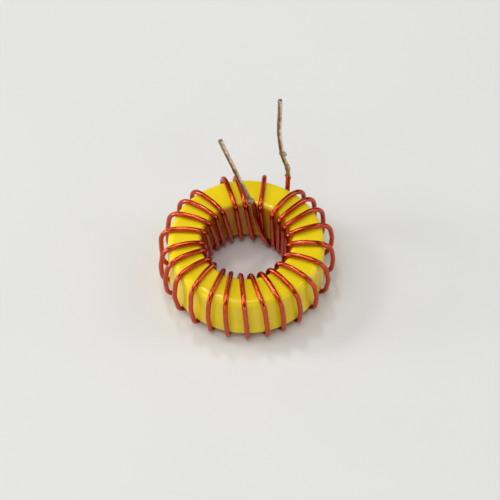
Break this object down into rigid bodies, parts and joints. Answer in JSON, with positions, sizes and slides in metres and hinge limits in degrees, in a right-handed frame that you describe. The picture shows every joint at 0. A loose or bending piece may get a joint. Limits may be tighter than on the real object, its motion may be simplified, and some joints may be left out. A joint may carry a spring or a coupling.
{
  "type": "toroidal inductor",
  "caption": "Toroidal inductor: a yellow coated ring core wound through its bore with a single layer of enamelled copper wire, its bare tinned wire ends standing up as leads.",
  "frame": {"origin": "on the axis of the ring core, in the plane that the underside of the winding rests on", "axes": "+Z along the axis of the core, up through the bore; +Y towards the side of the winding where the two leads stand up; +X to the right when the leads are at the back"},
  "size_m": [0.0273, 0.027, 0.0269],
  "materials": {
    "core_coating": "glossy epoxy coating over pressed iron powder",
    "wire_enamel": "glossy clear red-brown enamel over copper",
    "tinned_wire": "dull tinned copper and solder, a little uneven"
  },
  "bodies": {
    "root": {"core": "core_coating", "winding": "wire_enamel", "inner_lead": "tinned_wire", "outer_lead": "tinned_wire", "inner_lead_solder": "tinned_wire", "outer_lead_solder_bead": "tinned_wire", "outer_lead_solder_collar": "tinned_wire"}
  },
  "joints": []
}
